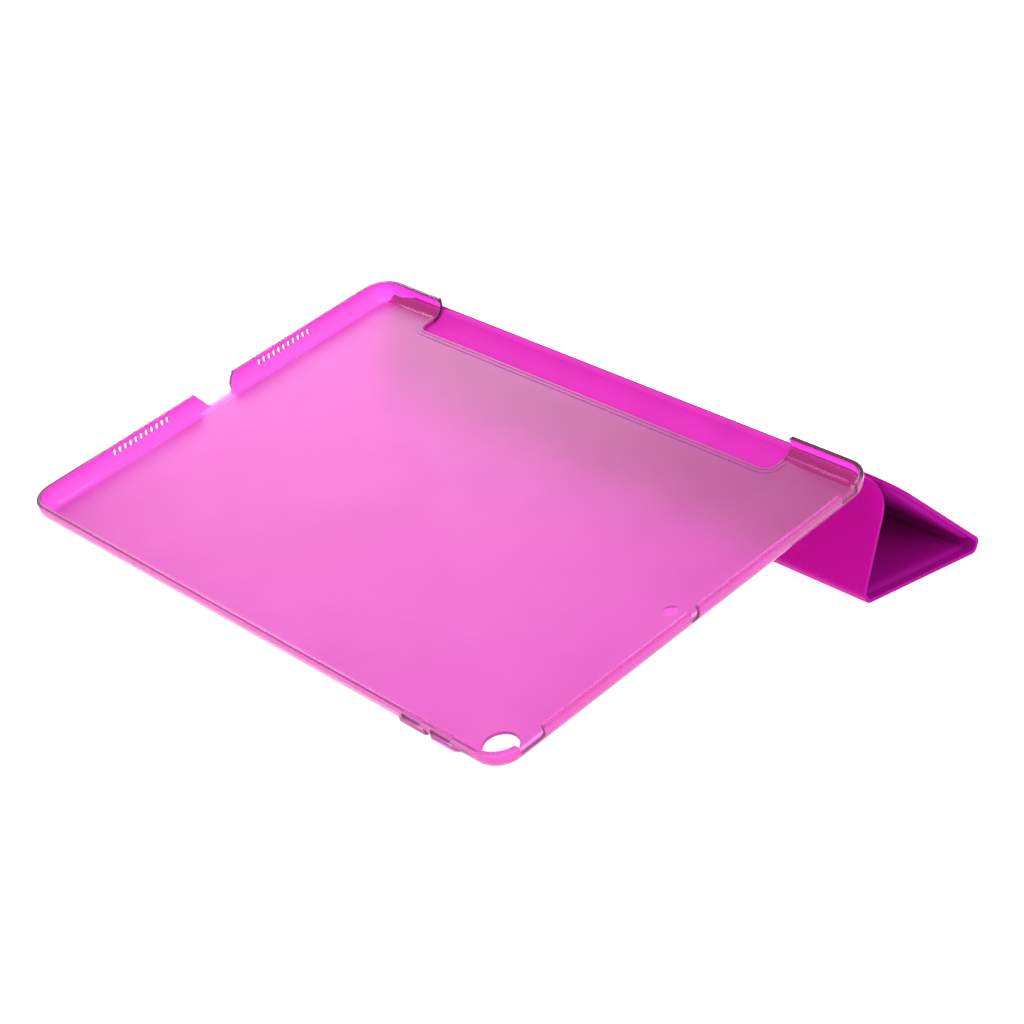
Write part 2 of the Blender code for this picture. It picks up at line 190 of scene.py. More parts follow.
def shell_colour(tree, where, frost):
    """Clear pink walls, and a misty back with slight cloudiness."""
    cloud = noise(tree, 35.0, 3.0, 0.5, where)
    misty = mix_colour(
        tree,
        ramp(tree, cloud.outputs["Fac"], 0.35, 0.65),
        (0.865, 0.36, 0.75, 1.0),
        (0.90, 0.41, 0.79, 1.0),
    )
    tint = node(tree, "ShaderNodeMix", data_type="RGBA")
    tint.inputs["A"].default_value = (1.0, 0.58, 0.90, 1.0)
    link(tree, misty, tint.inputs["B"])
    link(tree, frost, tint.inputs["Factor"])
    return tint.outputs["Result"]


def shell_roughness(tree, where, frost):
    polished = 0.07
    frosting = 0.30
    grain = noise(tree, 9000.0, 2.0, 0.6, where)
    texture = ramp(tree, grain.outputs["Fac"], 0.3, 0.7, -0.02, 0.02)
    even = calculate(tree, "MULTIPLY_ADD", frost, frosting, polished)
    return calculate(tree, "ADD", even, texture)


def shell_clearness(tree, frost, rearward):
    """The flap shows clearly through the rear wall, and the other walls are a little hazy."""
    walls, back, extra = 0.84, 0.82, 0.11
    rear = (WIDTH / 2 - EDGE_ROUND) * MM
    hazy = ramp(tree, frost, 0.0, 1.0, walls, back)
    clearer = ramp(tree, rearward, rear - 0.3 * MM, rear + 0.3 * MM, 0.0, extra)
    return calculate(tree, "ADD", hazy, clearer)


def shell_material():
    """Clear magenta polycarbonate: polished walls, and a finely frosted flat back."""
    material, tree, shader = new_material("frosted polycarbonate")
    where = position(tree)
    frost, rearward = tray_masks(tree, where)
    link(tree, shell_roughness(tree, where, frost), shader.inputs["Roughness"])
    link(tree, shell_colour(tree, where, frost), shader.inputs["Base Color"])
    clearness = shell_clearness(tree, frost, rearward)
    link(tree, clearness, shader.inputs["Transmission Weight"])
    shader.inputs["IOR"].default_value = 1.45
    shader.inputs["Specular IOR Level"].default_value = 0.3
    shader.inputs["Specular Tint"].default_value = (0.95, 0.5, 0.95, 1.0)
    ripple = noise(tree, 2500.0, 2.0, 0.5, where)
    normal = add_bump(tree, ripple.outputs["Fac"], 0.05, 0.03 * MM)
    link(tree, normal, shader.inputs["Normal"])
    inside = node(tree, "ShaderNodeVolumeAbsorption", Density=1900.0)
    inside.inputs["Color"].default_value = (0.96, 0.02, 0.90, 1.0)
    link(tree, inside.outputs[0], tree.nodes["Material Output"].inputs["Volume"])
    return material


def pebble_pattern(tree, where):
    """Leather pebbles, about half a millimetre across, with their outlines warped."""
    warp = noise(tree, 700.0, 2.0, 0.5, where)
    push = node(tree, "ShaderNodeVectorMath", operation="MULTIPLY_ADD")
    link(tree, warp.outputs["Color"], push.inputs[0])
    push.inputs[1].default_value = (0.6 * MM,) * 3
    link(tree, where, push.inputs[2])
    cells = node(tree, "ShaderNodeTexVoronoi", feature="DISTANCE_TO_EDGE", Scale=1900.0)
    link(tree, push.outputs[0], cells.inputs["Vector"])
    return ramp(tree, cells.outputs["Distance"], 0.0, 0.25)


def leather_material(name, base, deep):
    """Fine-grained polyurethane leather: pebbled grain, soft creases, slight tone changes."""
    material, tree, shader = new_material(name)
    where = position(tree)
    pebble = pebble_pattern(tree, where)
    cloud = noise(tree, 22.0, 4.0, 0.55, where)
    shade = mix_colour(tree, ramp(tree, cloud.outputs["Fac"], 0.3, 0.7), deep, base)
    grey = node(tree, "ShaderNodeCombineColor")
    for socket in ("Red", "Green", "Blue"):
        link(tree, pebble, grey.inputs[socket])
    link(tree, darken(tree, shade, grey.outputs[0], 0.16), shader.inputs["Base Color"])
    wear = noise(tree, 60.0, 4.0, 0.6, where)
    link(tree, ramp(tree, wear.outputs["Fac"], 0.3, 0.7, 0.41, 0.52), shader.inputs["Roughness"])
    shader.inputs["Specular IOR Level"].default_value = 0.06
    grain = add_bump(tree, pebble, 0.5, 0.04 * MM)
    swell = noise(tree, 90.0, 3.0, 0.5, where)
    normal = add_bump(tree, swell.outputs["Fac"], 0.12, 0.4 * MM, below=grain)
    link(tree, normal, shader.inputs["Normal"])
    return material


def lining_material(name, base, deep, sheen):
    """Short-napped microfibre: soft sheen, brushed patches and fine fibre speckle."""
    material, tree, shader = new_material(name)
    where = position(tree)
    nap = ramp(tree, noise(tree, 45.0, 5.0, 0.6, where).outputs["Fac"], 0.3, 0.7)
    shade = mix_colour(tree, nap, deep, base)
    fibre = noise(tree, 5200.0, 2.0, 0.7, where)
    speckled = darken(tree, shade, fibre.outputs["Color"], 0.18)
    link(tree, speckled, shader.inputs["Base Color"])
    link(tree, ramp(tree, nap, 0.0, 1.0, 0.72, 0.86), shader.inputs["Roughness"])
    shader.inputs["Sheen Weight"].default_value = sheen
    shader.inputs["Sheen Roughness"].default_value = 0.4
    shader.inputs["Specular IOR Level"].default_value = 0.1
    normal = add_bump(tree, fibre.outputs["Fac"], 0.35, 0.06 * MM)
    link(tree, normal, shader.inputs["Normal"])
    return material


def inner_material(name, base, deep, roughness, metallic, scale):
    """Board, steel, magnet and tape, which stay hidden between the layers."""
    material, tree, shader = new_material(name)
    spots = noise(tree, scale, 5.0, 0.6, position(tree)).outputs["Fac"]
    link(tree, mix_colour(tree, spots, deep, base), shader.inputs["Base Color"])
    uneven = ramp(tree, spots, 0.3, 0.7, roughness - 0.06, roughness + 0.06)
    link(tree, uneven, shader.inputs["Roughness"])
    shader.inputs["Metallic"].default_value = metallic
    link(tree, add_bump(tree, spots, 0.2, 0.03 * MM), shader.inputs["Normal"])
    return material


SHELL = shell_material()
LEATHER = leather_material("magenta leather", linear(213, 5, 173), linear(205, 3, 164))
# The flap's wings use the panels' leather painted brighter. The lighter colour is painted light,
# standing in for light that reaches the flap under the tray.
PAINTED_BRIGHT_WING_LEATHER = leather_material("flap leather painted brighter", linear(240, 10, 190), linear(232, 7, 182))
LINING = lining_material("magenta microfibre", linear(208, 18, 184), linear(196, 12, 170), 0.0)
# This is the same microfibre as the panels' lining, painted lighter and paler. Its colour holds
# painted light from above and a painted sheen on the hinge.
PAINTED_LIGHT_FLAP_LINING = lining_material("hinge microfibre painted lighter", linear(236, 50, 198), linear(224, 42, 186), 0.06)
BOARD = inner_material("pressed board", (0.34, 0.31, 0.28, 1), (0.25, 0.22, 0.2, 1), 0.85, 0.0, 900.0)
STEEL = inner_material("steel strip", (0.6, 0.61, 0.63, 1), (0.5, 0.51, 0.53, 1), 0.35, 1.0, 400.0)
MAGNET = inner_material("nickel plate", (0.7, 0.69, 0.66, 1), (0.6, 0.59, 0.56, 1), 0.25, 1.0, 600.0)
TAPE = inner_material("adhesive film", (0.8, 0.62, 0.75, 1), (0.75, 0.55, 0.7, 1), 0.5, 0.0, 700.0)


# --- Mesh helpers -----------------------------------------------------------------------

def arc(cx, cy, radius, start, end, steps):
    points = []
    for step in range(steps + 1):
        angle = math.radians(start + (end - start) * step / steps)
        points.append((cx + radius * math.cos(angle), cy + radius * math.sin(angle)))
    return points


def circle(centre, radius, count):
    return arc(*centre, radius, 0, 360 - 360 / count, count - 1)


def rectangle(x0, x1, y0, y1, rounds, steps):
    """Outline from the low corner round, with a radius for each corner."""
    corners = ((x0, y0, 1, 1, 180), (x1, y0, -1, 1, 270), (x1, y1, -1, -1, 0), (x0, y1, 1, -1, 90))
    points = []
    for (x, y, ix, iy, start), radius in zip(corners, rounds):
        if radius > 0:
            points += arc(x + ix * radius, y + iy * radius, radius, start, start + 90, steps)
        else:
            points.append((x, y))
    return points


def loft(bm, levels, place):
    """Closed solid through outlines of equal length: levels are (outline, height)."""
    rings = [[bm.verts.new(place(x, y, h)) for x, y in outline] for outline, h in levels]
    count = len(rings[0])
    for lower, upper in zip(rings, rings[1:]):
        for index in range(count):
            after = (index + 1) % count
            bm.faces.new((lower[index], lower[after], upper[after], upper[index]))
    bm.faces.new(rings[0])
    bm.faces.new(rings[-1])


def up(x, y, h):
    return Vector((x, y, h)) * MM


def along_x(y, z, x):
    return Vector((x, y, z)) * MM


def along_y(x, z, y):
    return Vector((x, y, z)) * MM


def finish_mesh(name, bm, material=None):
    bmesh.ops.recalc_face_normals(bm, faces=bm.faces)
    mesh = bpy.data.meshes.new(name)
    bm.to_mesh(mesh)
    bm.free()
    made = bpy.data.objects.new(name, mesh)
    bpy.context.collection.objects.link(made)
    if material:
        mesh.materials.append(material)
    return made


def apply_all(obj):
    """Bakes an object's modifiers into its mesh."""
    bpy.context.view_layer.update()
    graph = bpy.context.evaluated_depsgraph_get()
    baked = bpy.data.meshes.new_from_object(obj.evaluated_get(graph))
    obj.modifiers.clear()
    obj.data = baked


def smooth(obj, angle):
    obj.data.shade_smooth()
    obj.data.set_sharp_from_angle(angle=math.radians(angle))


def boolean(target, operation, bm):
    """Adds the mesh to the target, or cuts it away, when the modifiers are applied."""
    modifier = target.modifiers.new("cut", "BOOLEAN")
    modifier.object = finish_mesh("cutter", bm)
    modifier.operation = operation
    modifier.solver = "EXACT"


def combine(target, operation, place, *solids):
    """Adds or cuts solids, each a list of (outline, height) levels, in one step."""
    bm = bmesh.new()
    for levels in solids:
        loft(bm, levels, place)
    boolean(target, operation, bm)


# --- Tray -------------------------------------------------------------------------------

RIM_ROUND = 0.38
RIM_WIDTH = WALL + 0.4

# Hinge cut-out in the rear edge: left, right, front, and the radius of its front corners
CUT_LEFT, CUT_RIGHT, CUT_FRONT, CUT_ROUND = 35.2, 215.8, 163.6, 3.6
BORDER_BACK = WIDTH - 4.2

NOTCH_CROWN = 0.8
PORT = (81.85, 95.15, 1.35, 2.6, 2.2)
RIGHT_NOTCHES = ((9.4, 20.2, 3.7), (85.8, 89.4, 3.0), (158.8, 166.9, 4.0))

SPEAKER_STARTS = (39.9, 110.5)
SPEAKER_SLOTS = 11
SPEAKER_PITCH = 2.5

VOLUME_WINDOWS = ((209.3, 218.9), (222.7, 232.6))
# Left, right, and how far the pad's foot spreads to the left and to the right
VOLUME_PADS = ((207.6, 219.4, 3.0, 1.2), (222.2, 232.9, 1.2, 3.0))
PAD_BOTTOM, PAD_TOP, PAD_FOOT_TOP = 2.4, 5.6, 3.9


def quarter(offset, reach):
    """Quarter round from the bottom up to the wall, as (inset, height)."""
    steps = 12
    points = []
    for step in range(steps + 1):
        angle = math.pi / 2 * step / steps
        inset = offset + reach * (1 - math.sin(angle))
        points.append((inset, offset + reach * (1 - math.cos(angle))))
    return points


def tray_profile():
    """(inset from the outline, height) up the wall's outside, over the rim and down inside."""
    rim_height = DEPTH - RIM_ROUND
    profile = quarter(0.0, EDGE_ROUND)
    profile += reversed(arc(RIM_ROUND, rim_height, RIM_ROUND, 90, 180, 4))
    profile += reversed(arc(RIM_WIDTH - RIM_ROUND, rim_height, RIM_ROUND, 0, 90, 4))
    profile += [
        (RIM_WIDTH, DEPTH - 0.75),
        (RIM_WIDTH - 0.12, DEPTH - 1.0),
        (WALL, DEPTH - 1.5),
    ]
    profile += reversed(quarter(WALL, EDGE_ROUND - WALL))
    return profile


def tray_blank():
    levels = []
    for inset, height in tray_profile():
        radius = CORNER_ROUND - inset
        outline = rectangle(inset, LENGTH - inset, inset, WIDTH - inset, (radius,) * 4, 14)
        levels.append((outline, height))
    bm = bmesh.new()
    loft(bm, levels, up)
    return finish_mesh("tray_shell", bm, SHELL)


def notch(low, high, bottom, flare=0.0, radius=1.2):
    """Slot open at the rim, rounded at the bottom and softened where it meets the rim."""
    above = DEPTH + 1.0
    left = low - flare - NOTCH_CROWN
    right = high + flare + NOTCH_CROWN
    points = [(right, above), (left, above)]
    points += arc(left, DEPTH - NOTCH_CROWN, NOTCH_CROWN, 90, 0, 5)
    points += arc(low + radius, bottom + radius, radius, 180, 270, 6)
    points += arc(high - radius, bottom + radius, radius, 270, 360, 6)
    points += arc(right, DEPTH - NOTCH_CROWN, NOTCH_CROWN, 180, 90, 5)
    return points


def cut_outline(grow, back=WIDTH + 3.0):
    """The hinge cut-out, grown all round except at the back."""
    radius = CUT_ROUND + grow
    return rectangle(CUT_LEFT - grow, CUT_RIGHT + grow, CUT_FRONT - grow, back,
                     (radius, radius, 0, 0), 10)


def add_volume_pads(shell):
    """Square-edged pads that stand out of the wall under the volume windows."""
    outer, inner = 0.02, 1.6
    bm = bmesh.new()
    for left, right, foot_left, foot_right in VOLUME_PADS:
        outside = (
            (left, outer, PAD_BOTTOM),
            (right, outer, PAD_BOTTOM),
            (right, outer, PAD_TOP),
            (left, outer, PAD_TOP),
        )
        inside = (
            (left - foot_left, inner, PAD_BOTTOM),
            (right + foot_right, inner, PAD_BOTTOM),
            (right + foot_right, inner, PAD_FOOT_TOP),
            (left - foot_left, inner, PAD_FOOT_TOP),
        )
        front = [bm.verts.new(Vector(p) * MM) for p in outside]
        back = [bm.verts.new(Vector(p) * MM) for p in inside]
        bm.faces.new(front)
        bm.faces.new(back)
        for i in range(4):
            j = (i + 1) % 4
            bm.faces.new((front[i], front[j], back[j], back[i]))
    boolean(shell, "UNION", bm)


def add_border_step(shell, reach, height):
    """One soft-edged step of the raised border round the cut-out."""
    base, soft = 0.95, 0.12
    full = cut_outline(reach, BORDER_BACK)
    eased = cut_outline(reach - soft, BORDER_BACK)
    combine(shell, "UNION", up, [(full, base), (full, height - soft), (eased, height)])


def cut_hinge_opening(shell):
    under = cut_outline(3.6)
    combine(shell, "DIFFERENCE", up, [(under, -1.0), (under, 0.7)])
    levels = ((0.0, -2.0), (0.0, 1.5), (0.24, 1.74), (0.24, 7.2), (0.36, 7.7), (0.8, 8.02), (0.8, 9.5))
    combine(shell, "DIFFERENCE", up, [(cut_outline(grow), height) for grow, height in levels])


def speaker_slot(middle):
    """Upright slot through the left wall, chamfered at both mouths."""
    slot = rectangle(middle - 0.65, middle + 0.65, 3.9, 6.3, (0.64,) * 4, 5)
    mouth = rectangle(middle - 0.8, middle + 0.8, 3.75, 6.45, (0.79,) * 4, 5)
    return [(mouth, -1.0), (mouth, 0.0), (slot, 0.15), (slot, 1.05), (mouth, 1.2), (mouth, 3.0)]


def cut_side_openings(shell):
    """Port notch and speaker slots on the left, and three notches on the right."""
    solids = [[(notch(*PORT), -1.0), (notch(*PORT), 5.6)]]
    for low, high, bottom in RIGHT_NOTCHES:
        outline = notch(low, high, bottom)
        solids.append([(outline, LENGTH - 2.7), (outline, LENGTH + 1.0)])
    for start in SPEAKER_STARTS:
        for slot in range(SPEAKER_SLOTS):
            solids.append(speaker_slot(start + SPEAKER_PITCH * slot))
    combine(shell, "DIFFERENCE", along_x, *solids)


def cut_volume_windows(shell):
    solids = []
    for left, right in VOLUME_WINDOWS:
        window = rectangle(left, right, 4.2, 6.6, (0.6,) * 4, 5)
        solids.append([(window, -1.0), (window, 2.3)])
    combine(shell, "DIFFERENCE", along_y, *solids)


def cut_round_marks(shell):
    """Camera hole with eased edges, and the shallow moulding mark."""
    hole = circle(CAMERA_HOLE, 5.85, 64)
    mouth = circle(CAMERA_HOLE, 6.1, 64)
    camera = [(mouth, -1.0), (mouth, -0.01), (hole, 0.25), (hole, 0.95), (mouth, 1.21), (mouth, 2.4)]
    mark = [
        (circle(GATE_MARK, 2.9, 40), -1.0),
        (circle(GATE_MARK, 2.8, 40), 0.08),
        (circle(GATE_MARK, 2.55, 40), 0.2),
    ]
    combine(shell, "DIFFERENCE", up, camera, mark)


def build_tray():
    shell = tray_blank()
    add_volume_pads(shell)
    add_border_step(shell, 2.6, 1.46)
    add_border_step(shell, 1.15, 1.7)
    cut_hinge_opening(shell)
    cut_side_openings(shell)
    cut_volume_windows(shell)
    cut_round_marks(shell)
    cutters = [modifier.object for modifier in shell.modifiers]
    apply_all(shell)
    for cutter in cutters:
        bpy.data.objects.remove(cutter)
    shell.data.transform(TRAY)
    smooth(shell, 32)
    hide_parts("back_shell")
    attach(shell, "tray")


# --- Cover: one folded sheet, cut into pieces at the middles of spine and strips -----------

def unit(degrees):
    """Direction in the cross-section."""
    angle = math.radians(degrees)
    return np.array([math.cos(angle), math.sin(angle)])


def crease(name):
    """A crease's place in the cross-section."""
    x, y, z = JOINTS[name]["pos_m"]
    return np.array([y, z]) / MM


class Local:
    """A panel's own frame in the cross-section: y along the panel, z towards the lining."""

    def __init__(self, origin, degrees):
        self.origin = origin
        self.y = unit(degrees)
        self.z = np.array([-self.y[1], self.y[0]])

    def at(self, y, z):
        return self.origin + y * self.y + z * self.z


TRAY_SECTION = Local(np.array([-ORIGIN[1], -GROUND]), TILT_DEGREES)
SPINE = Local(crease("cover_hinge"), -40.6)
PANEL_1 = Local(crease("spine_crease"), -103.0)
STRIP_1 = Local(crease("fold_1_upper_crease"), -51.5)
PANEL_2 = Local(crease("fold_1_lower_crease"), 0.0)
STRIP_2 = Local(crease("fold_2_lower_crease"), 72.0)
PANEL_3 = Local(crease("fold_2_upper_crease"), 144.0)

# Widths of the cover's parts from crease to crease
SPINE_WIDTH = 6.9
STRIP_1_WIDTH = 4.6
PANEL_2_WIDTH = 58.7
STRIP_2_WIDTH = 4.8
PANEL_3_WIDTH = 62.55

# Thickness of the sheet at its margins and over the boards, and of the leather alone
THIN = 1.4
THICK = 2.6
SKIN = 0.70

# The leather's outside, measured from the line of creases towards the lining
OUT_1 = -1.3
OUT = -0.3

# How far from its crease a fold's curve starts, and how close to its corner each fold goes
TURN = 2.3
FULL_FOLD = 0.4
SOFT_FOLD = 0.12

PANEL_1_TOP = -0.7
PANEL_1_ROUND = 10.0
PANEL_3_ROUND = 12.0

# Columns lie closer together this near to both ends of a row
END_ZONE = 20.0


def meet(p, d, q, e):
    """Where line p + a d meets line q + b e."""
    a = np.linalg.solve(np.array([[d[0], -e[0]], [d[1], -e[1]]]), q - p)[0]
    return p + a * d


def bezier(p0, p1, p2, steps):
    points = []
    for step in range(1, steps + 1):
        t = step / steps
        points.append((1 - t) ** 2 * p0 + 2 * t * (1 - t) * p1 + t * t * p2)
    return points


def bend(a, y_a, b, y_b, z_a, z_b, steps=8, tight=0.0):
    """Curve from frame a at y_a to frame b at y_b, tangent to both, at the given depths.

    tight moves both ends towards the corner, which makes a fuller fold."""
    start = a.at(y_a, z_a)
    end = b.at(y_b, z_b)
    corner = meet(start, a.y, end, b.y)
    near_start = start + tight * (corner - start)
    near_end = end + tight * (corner - end)
    curve = bezier(near_start, corner, near_end, steps)
    if tight:
        return [start, near_start] + curve + [end]
    return [start] + curve


def normals(points):
    """Unit normals of a path, to the left of its direction."""
    out = []
    for i in range(len(points)):
        before = points[max(0, i - 1)]
        after = points[min(len(points) - 1, i + 1)]
        d = after - before
        d = d / np.linalg.norm(d)
        out.append(np.array([-d[1], d[0]]))
    return out


def sheet_rows(bm, path, span, offset):
    """Rows of vertices along a path, pushed off it by offset(row, x)."""
    side = normals(path)
    rows = []
    for i, point in enumerate(path):
        row = []
        for x in span(i):
            y, z = point + side[i] * offset(i, x)
            row.append(bm.verts.new(Vector((x - ORIGIN[0], y, z)) * MM))
        rows.append(row)
    return rows


def close_sheet(bm, low, high):
    """Faces over both sides and all four edges of a sheet."""
    rows = len(low)
    columns = len(low[0])
    for i in range(rows - 1):
        for j in range(columns - 1):
            bm.faces.new((low[i][j], low[i][j + 1], low[i + 1][j + 1], low[i + 1][j]))
            bm.faces.new((high[i][j], high[i + 1][j], high[i + 1][j + 1], high[i][j + 1]))
        for j in (0, columns - 1):
            bm.faces.new((low[i][j], high[i][j], high[i + 1][j], low[i + 1][j]))
    for i in (0, rows - 1):
        for j in range(columns - 1):
            bm.faces.new((low[i][j], low[i][j + 1], high[i][j + 1], high[i][j]))


def soften_edges(piece):
    modifier = piece.modifiers.new("bevel", "BEVEL")
    modifier.width = 0.12 * MM
    modifier.segments = 2
    modifier.limit_method = "ANGLE"
    modifier.angle_limit = math.radians(50)
    apply_all(piece)


def strip(name, path, span, inner, outer, material, body, cad=None, blend_to=None,
          soft=True):
    """A sheet piece swept along path (points in the cross-section, skin side outwards).

    span(i) gives the sheet's columns at row i, inner and outer (i, x) the offsets of its two
    faces from the path, towards the lining."""
    bm = bmesh.new()
    low = sheet_rows(bm, path, span, outer)
    high = sheet_rows(bm, path, span, inner)
    close_sheet(bm, low, high)
    piece = finish_mesh(name, bm, material)
    if soft:
        soften_edges(piece)
    smooth(piece, 40)
    if cad:
        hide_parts(cad)
    if blend_to is None:
        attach(piece, body)
    else:
        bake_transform(piece)


def full_row():
    """Columns over the whole length, closer together near both ends."""
    edge = [0.0, 0.4, 0.9, 1.6, 2.4, 3.2, 4.0, 5.0, 7.0, 10.0, 14.0]
    middle = np.linspace(END_ZONE, LENGTH - END_ZONE, 46)
    return edge + list(middle) + [LENGTH - e for e in reversed(edge)]


def rounded_row(distance, radius):
    """Columns of a row at distance from a panel edge whose corners are rounded."""
    distance = max(0.0, distance)
    inset = 0.0
    if distance < radius:
        inset = radius - math.sqrt(max(0.0, radius * radius - (radius - distance) ** 2))
    squeeze = END_ZONE - inset
    columns = []
    for x in full_row():
        if x < END_ZONE:
            x = inset + x * squeeze / END_ZONE
        elif x > LENGTH - END_ZONE:
            x = LENGTH - inset - (LENGTH - x) * squeeze / END_ZONE
        columns.append(x)
    return columns


def ease(t):
    """Smooth step from 0 to 1."""
    t = min(1.0, max(0.0, t))
    return t * t * (3 - 2 * t)


def raised(from_side, from_start, from_end):
    """1 over the stiff board, 0 along the sealed margins."""
    side_margin, end_margin, slope = 3.2, 1.4, 1.3
    return min(
        ease((from_side - side_margin) / slope),
        ease((from_start - end_margin) / slope),
        ease((from_end - end_margin) / slope),
    )


def panel_pieces(tag, path, along, span, length, body, blend_to, cads, start_room=0.0,
                 end_room=0.0):
    """Skin and lining of one panel. along[i] is row i's distance from the panel's first crease.

    start_room and end_room move the board's end at a free edge, outwards if positive."""
    ends = [span(i) for i in range(len(path))]

    def lift(i, x):
        from_side = min(x - ends[i][0], ends[i][-1] - x)
        return raised(from_side, along[i] + start_room, length - along[i] + end_room)

    def skin_outer(i, x):
        return 0.0

    def skin_inner(i, x):
        return SKIN + 0.1 * lift(i, x)

    def lining_outer(i, x):
        return SKIN + 0.03 + 1.2 * lift(i, x)

    def lining_inner(i, x):
        return THIN + (THICK - THIN) * lift(i, x)

    strip(tag + "_leather", path, span, skin_inner, skin_outer, LEATHER, body, cads[0],
          blend_to)
    strip(tag + "_microfibre", path, span, lining_inner, lining_outer, LINING, body,
          cads[1], blend_to)


def curve_rows(start, curve):
    """Distances for the rows of a fold's curve that follows a panel."""
    return [start + TURN * k / 4 for k in range(len(curve))]


def build_panel_1():
    """Panel 1, whose top end is free, with its lower fold as far as the strip's middle."""
    bend_start = 36.4
    along = [PANEL_1_TOP + PANEL_1_ROUND * (1 - math.cos(math.radians(a))) for a in range(0, 91, 10)]
    along += list(np.linspace(11.5, 33.5, 9)) + [34.6, 35.6]
    path = [PANEL_1.at(y, OUT_1) for y in along]
    curve = bend(PANEL_1, bend_start, STRIP_1, STRIP_1_WIDTH / 2, OUT_1, OUT, tight=FULL_FOLD)
    path += curve
    along += curve_rows(bend_start, curve)

    def span(i):
        return rounded_row(along[i] - PANEL_1_TOP, PANEL_1_ROUND)

    panel_pieces("panel_1", path, along, span, 37.5, "panel_1",
                 ("fold_strip_1", curve[0], curve[-1]), ("panel_1_skin", "panel_1_lining"),
                 start_room=2.2)


def build_turn(tag, strip_frame, strip_width, panel, tight, body, next_body, cads):
    """From a strip's middle to the next panel, thin all over."""
    curve = bend(strip_frame, strip_width / 2, panel, TURN, OUT, OUT, tight=tight)
    row = full_row()
    panel_pieces(tag, curve, [0.0] * len(curve), lambda i: row, 0.0, body,
                 (next_body, curve[0], curve[-1]), cads)


def build_panel_2():
    """The panel on the table, as far as the second strip's middle."""
    bend_start = PANEL_2_WIDTH - TURN
    along = [2.3, 2.6, 3.2, 3.8, 5.0] + list(np.linspace(8.0, 51.0, 12)) + [53.4, 54.6, 55.4, 56.0]
    path = [PANEL_2.at(y, OUT) for y in along]
    curve = bend(PANEL_2, bend_start, STRIP_2, STRIP_2_WIDTH / 2, OUT, OUT, tight=SOFT_FOLD)
    path += curve
    along += curve_rows(bend_start, curve)
    row = full_row()
    panel_pieces("panel_2", path, along, lambda i: row, PANEL_2_WIDTH - 1.2, "panel_2",
                 ("fold_strip_2", curve[0], curve[-1]), ("panel_2_skin", "panel_2_lining"))


def build_panel_3():
    """Panel 3 to its free edge, with rounded corners."""
    round_start = PANEL_3_WIDTH - PANEL_3_ROUND
    along = [2.3, 2.6, 3.2, 3.8, 5.0] + list(np.linspace(8.0, round_start, 11))
    for angle in range(9, 91, 9):
        along.append(PANEL_3_WIDTH - PANEL_3_ROUND * (1 - math.sin(math.radians(angle))))
    path = [PANEL_3.at(y, OUT) for y in along]

    def span(i):
        return rounded_row(PANEL_3_WIDTH - along[i], PANEL_3_ROUND)

    panel_pieces("panel_3", path, along, span, PANEL_3_WIDTH, "panel_3", None,
                 ("panel_3_skin", "panel_3_lining"), end_room=-1.6)


def build_cover():
    build_panel_1()
    build_turn("fold_1_turn", STRIP_1, STRIP_1_WIDTH, PANEL_2, FULL_FOLD, "fold_strip_1",
               "panel_2", ("fold_strip_1_skin", "fold_strip_1_lining"))
    build_panel_2()
    build_turn("fold_2_turn", STRIP_2, STRIP_2_WIDTH, PANEL_3, SOFT_FOLD, "fold_strip_2",
               "panel_3", ("fold_strip_2_skin", "fold_strip_2_lining"))
    build_panel_3()


# --- Hinge: flap under the tray, and the spine -------------------------------------------

# The flap lies flat under the tray, then curves up to the hinge crease
FLAP_FRONT = 160.6
FLAP_BEND = 169.5
FLAP_END = 177.15
FLAP_SINK = 0.75
FLAP_RISE = 3.15
FLAP_RADIUS = ((FLAP_END - FLAP_BEND) ** 2 + FLAP_RISE ** 2) / (2 * FLAP_RISE)

# Half the sheet's thickness, and the two faces where leather and lining meet
HALF = 0.7
LEATHER_FACE = -HALF + 0.62
LINING_FACE = -HALF + 0.66

# Left and right ends of the flap's hidden part, its wings and the part in the cut-out
FLAP_HIDDEN = (32.2, 218.8)
FLAP_WINGS = (6.0, 247.0)
FLAP_MIDDLE = (35.5, 215.5)


def flap_middle(v):
    """Height of the sheet's middle in the tray's frame."""
    if v <= FLAP_BEND:
        return -FLAP_SINK
    reach = v - FLAP_BEND
    return -FLAP_SINK + FLAP_RADIUS - math.sqrt(FLAP_RADIUS * FLAP_RADIUS - reach * reach)


def flap_columns(shift, ends, count):
    """Columns of a flap row, its ends moved by shift from the hidden part's to the given ones."""
    left = FLAP_HIDDEN[0] + (ends[0] - FLAP_HIDDEN[0]) * shift
    right = FLAP_HIDDEN[1] + (ends[1] - FLAP_HIDDEN[1]) * shift
    return list(np.linspace(left, right, count))


def build_flap():
    """Leather wings under the tray's corners, and lining visible in the cut-out."""
    flat = [FLAP_FRONT, 162.0, 164.0, 166.0, 168.0, FLAP_BEND]
    wing_rows = flat + [170.5, 171.15, 171.7] + list(np.linspace(172.2, 175.9, 8)) + [176.1]
    path = [TRAY_SECTION.at(v, flap_middle(v)) for v in wing_rows]
    # The wings take the leather copy that is painted brighter, as painted light under the tray.
    strip("hinge_flap_leather", path,
          lambda i: flap_columns(ease((wing_rows[i] - 171.0) / 0.7), FLAP_WINGS, 40),
          lambda i, x: LEATHER_FACE, lambda i, x: -HALF,
          PAINTED_BRIGHT_WING_LEATHER, "tray", "hinge_flap_skin")
    middle_rows = flat + [170.2, 170.8, 171.4] + list(np.linspace(172.0, 176.0, 9))
    path = [TRAY_SECTION.at(v, flap_middle(v)) for v in middle_rows]
    # The lining in the cut-out is the microfibre copy painted lighter, with painted light and painted
    # sheen.
    strip("hinge_flap_microfibre", path,
          lambda i: flap_columns(ease((middle_rows[i] - 170.2) / 0.8), FLAP_MIDDLE, 60),
          lambda i, x: HALF, lambda i, x: LINING_FACE,
          PAINTED_LIGHT_FLAP_LINING, "tray", "hinge_flap_lining", soft=False)


